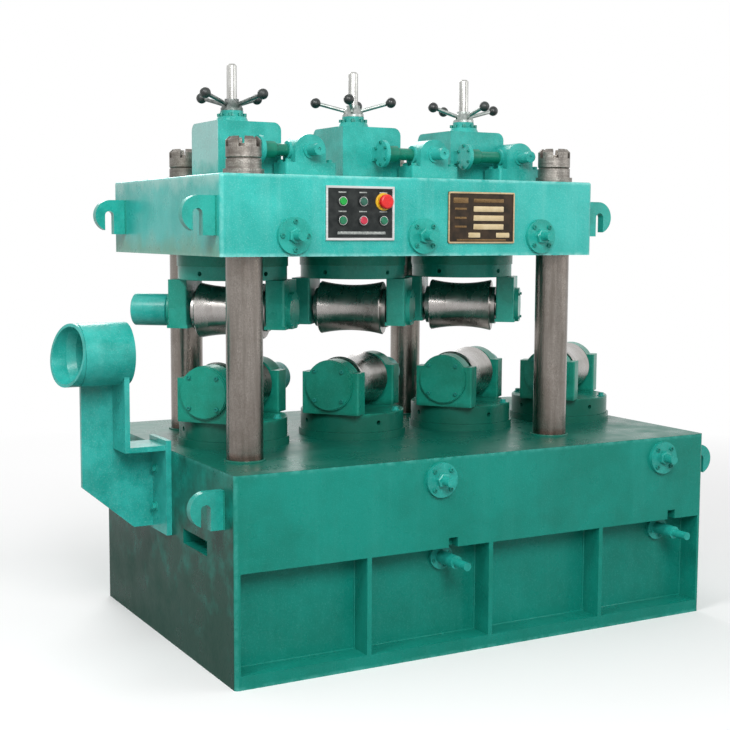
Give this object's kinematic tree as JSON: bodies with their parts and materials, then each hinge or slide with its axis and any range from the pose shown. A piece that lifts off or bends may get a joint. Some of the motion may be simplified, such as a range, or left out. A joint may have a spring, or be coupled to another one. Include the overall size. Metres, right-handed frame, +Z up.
{
  "type": "rod straightening machine",
  "caption": "Cross-roll rod straightening stand: skewed hourglass rolls in swivelling yokes between a bayed base and a crosshead beam on round columns, with screw-down handwheels.",
  "frame": {"origin": "on the floor under the middle of the base", "axes": "+X along the pass line in the way the rod travels, +Y away from the operator's side, +Z up"},
  "size_m": [2.0119, 1.21, 1.694],
  "materials": {
    "green_paint": "gloss",
    "ground_steel": "satin",
    "roll_steel": "polished",
    "nut_steel": "satin",
    "panel_aluminium": "satin",
    "plate_brass": "satin",
    "green_plastic": "gloss",
    "red_plastic": "gloss"
  },
  "bodies": {
    "stand": {"base_frame": "green_paint", "front_columns": "ground_steel", "rear_columns": "ground_steel", "column_nuts": "nut_steel", "crosshead_beam": "green_paint", "lower_rings": "green_paint", "upper_rings": "green_paint", "screw_gearbox_1": "green_paint", "screw_gearbox_2": "green_paint", "screw_gearbox_3": "green_paint", "angle_blocks": "green_paint", "worm_shafts": "green_paint", "beam_adjusters": "green_paint", "base_adjusters": "green_paint", "lifting_hooks": "green_paint", "control_panel": "panel_aluminium", "nameplate": "plate_brass", "guide_bracket": "green_paint", "entry_guide": "green_paint"},
    "lower_table_body_1": {"lower_table_1": "green_paint"},
    "lower_roll_body_1": {"lower_roll_1": "roll_steel"},
    "lower_table_body_2": {"lower_table_2": "green_paint"},
    "lower_roll_body_2": {"lower_roll_2": "roll_steel"},
    "lower_table_body_3": {"lower_table_3": "green_paint"},
    "lower_roll_body_3": {"lower_roll_3": "roll_steel"},
    "lower_table_body_4": {"lower_table_4": "green_paint"},
    "lower_roll_body_4": {"lower_roll_4": "roll_steel"},
    "screw_body_1": {"screw_spindle_1": "ground_steel"},
    "upper_yoke_body_1": {"upper_yoke_1": "green_paint"},
    "upper_roll_body_1": {"upper_roll_1": "roll_steel"},
    "handwheel_body_1": {"handwheel_1": "ground_steel"},
    "screw_body_2": {"screw_spindle_2": "ground_steel"},
    "upper_yoke_body_2": {"upper_yoke_2": "green_paint"},
    "upper_roll_body_2": {"upper_roll_2": "roll_steel"},
    "handwheel_body_2": {"handwheel_2": "ground_steel"},
    "screw_body_3": {"screw_spindle_3": "ground_steel"},
    "upper_yoke_body_3": {"upper_yoke_3": "green_paint"},
    "upper_roll_body_3": {"upper_roll_3": "roll_steel"},
    "handwheel_body_3": {"handwheel_3": "ground_steel"},
    "push_button_body_1": {"push_button_1": "green_plastic"},
    "push_button_body_2": {"push_button_2": "green_plastic"},
    "push_button_body_3": {"push_button_3": "green_plastic"},
    "push_button_body_4": {"push_button_4": "red_plastic"},
    "push_button_body_5": {"push_button_5": "green_plastic"},
    "emergency_stop_body": {"emergency_stop": "red_plastic"}
  },
  "joints": [
    {"name": "lower_swivel_1", "type": "hinge", "parent": "stand", "child": "lower_table_body_1", "pos_m": [-0.58, 0, 0.6], "axis": [0, 0, 1], "range_deg": [-4, 4]},
    {"name": "lower_spin_1", "type": "hinge", "parent": "lower_table_body_1", "child": "lower_roll_body_1", "pos_m": [-0.58, 0, 0.742], "axis": [0.7716, 0.6361, 0], "continuous": true},
    {"name": "lower_swivel_2", "type": "hinge", "parent": "stand", "child": "lower_table_body_2", "pos_m": [-0.175, 0, 0.6], "axis": [0, 0, 1], "range_deg": [-4, 4]},
    {"name": "lower_spin_2", "type": "hinge", "parent": "lower_table_body_2", "child": "lower_roll_body_2", "pos_m": [-0.175, 0, 0.742], "axis": [0.7716, 0.6361, 0], "continuous": true},
    {"name": "lower_swivel_3", "type": "hinge", "parent": "stand", "child": "lower_table_body_3", "pos_m": [0.23, 0, 0.6], "axis": [0, 0, 1], "range_deg": [-4, 4]},
    {"name": "lower_spin_3", "type": "hinge", "parent": "lower_table_body_3", "child": "lower_roll_body_3", "pos_m": [0.23, 0, 0.742], "axis": [0.7716, 0.6361, 0], "continuous": true},
    {"name": "lower_swivel_4", "type": "hinge", "parent": "stand", "child": "lower_table_body_4", "pos_m": [0.635, 0, 0.6], "axis": [0, 0, 1], "range_deg": [-4, 4]},
    {"name": "lower_spin_4", "type": "hinge", "parent": "lower_table_body_4", "child": "lower_roll_body_4", "pos_m": [0.635, 0, 0.742], "axis": [0.7716, 0.6361, 0], "continuous": true},
    {"name": "handwheel_turn_1", "type": "hinge", "parent": "stand", "child": "handwheel_body_1", "pos_m": [-0.58, 0, 1.57], "axis": [0, 0, 1], "range_deg": [-2401, 0]},
    {"name": "screw_lift_1", "type": "slide", "parent": "stand", "child": "screw_body_1", "axis": [0, 0, 1], "range_m": [-0.04, 0]},
    {"name": "upper_swivel_1", "type": "hinge", "parent": "screw_body_1", "child": "upper_yoke_body_1", "pos_m": [-0.58, 0, 1.08], "axis": [0, 0, 1], "range_deg": [-4, 4]},
    {"name": "upper_spin_1", "type": "hinge", "parent": "upper_yoke_body_1", "child": "upper_roll_body_1", "pos_m": [-0.58, 0, 0.97], "axis": [-0.7716, 0.6361, 0], "continuous": true},
    {"name": "handwheel_turn_2", "type": "hinge", "parent": "stand", "child": "handwheel_body_2", "pos_m": [-0.175, 0, 1.57], "axis": [0, 0, 1], "range_deg": [-2401, 0]},
    {"name": "screw_lift_2", "type": "slide", "parent": "stand", "child": "screw_body_2", "axis": [0, 0, 1], "range_m": [-0.04, 0]},
    {"name": "upper_swivel_2", "type": "hinge", "parent": "screw_body_2", "child": "upper_yoke_body_2", "pos_m": [-0.175, 0, 1.08], "axis": [0, 0, 1], "range_deg": [-4, 4]},
    {"name": "upper_spin_2", "type": "hinge", "parent": "upper_yoke_body_2", "child": "upper_roll_body_2", "pos_m": [-0.175, 0, 0.97], "axis": [-0.7716, 0.6361, 0], "continuous": true},
    {"name": "handwheel_turn_3", "type": "hinge", "parent": "stand", "child": "handwheel_body_3", "pos_m": [0.23, 0, 1.57], "axis": [0, 0, 1], "range_deg": [-2401, 0]},
    {"name": "screw_lift_3", "type": "slide", "parent": "stand", "child": "screw_body_3", "axis": [0, 0, 1], "range_m": [-0.04, 0]},
    {"name": "upper_swivel_3", "type": "hinge", "parent": "screw_body_3", "child": "upper_yoke_body_3", "pos_m": [0.23, 0, 1.08], "axis": [0, 0, 1], "range_deg": [-4, 4]},
    {"name": "upper_spin_3", "type": "hinge", "parent": "upper_yoke_body_3", "child": "upper_roll_body_3", "pos_m": [0.23, 0, 0.97], "axis": [-0.7716, 0.6361, 0], "continuous": true},
    {"name": "push_button_press_1", "type": "slide", "parent": "stand", "child": "push_button_body_1", "axis": [0, 1, 0], "range_m": [0, 0.002], "stiffness_N_per_m": 1500},
    {"name": "push_button_press_2", "type": "slide", "parent": "stand", "child": "push_button_body_2", "axis": [0, 1, 0], "range_m": [0, 0.002], "stiffness_N_per_m": 1500},
    {"name": "push_button_press_3", "type": "slide", "parent": "stand", "child": "push_button_body_3", "axis": [0, 1, 0], "range_m": [0, 0.002], "stiffness_N_per_m": 1500},
    {"name": "push_button_press_4", "type": "slide", "parent": "stand", "child": "push_button_body_4", "axis": [0, 1, 0], "range_m": [0, 0.002], "stiffness_N_per_m": 1500},
    {"name": "push_button_press_5", "type": "slide", "parent": "stand", "child": "push_button_body_5", "axis": [0, 1, 0], "range_m": [0, 0.002], "stiffness_N_per_m": 1500},
    {"name": "emergency_stop_press", "type": "slide", "parent": "stand", "child": "emergency_stop_body", "axis": [0, 1, 0], "range_m": [0, 0.004], "stiffness_N_per_m": 3000}
  ],
  "couplings": [
    {"joint": "handwheel_turn_1", "follows": "screw_lift_1", "rad_per_m": 1047.2},
    {"joint": "handwheel_turn_2", "follows": "screw_lift_2", "rad_per_m": 1047.2},
    {"joint": "handwheel_turn_3", "follows": "screw_lift_3", "rad_per_m": 1047.2}
  ]
}
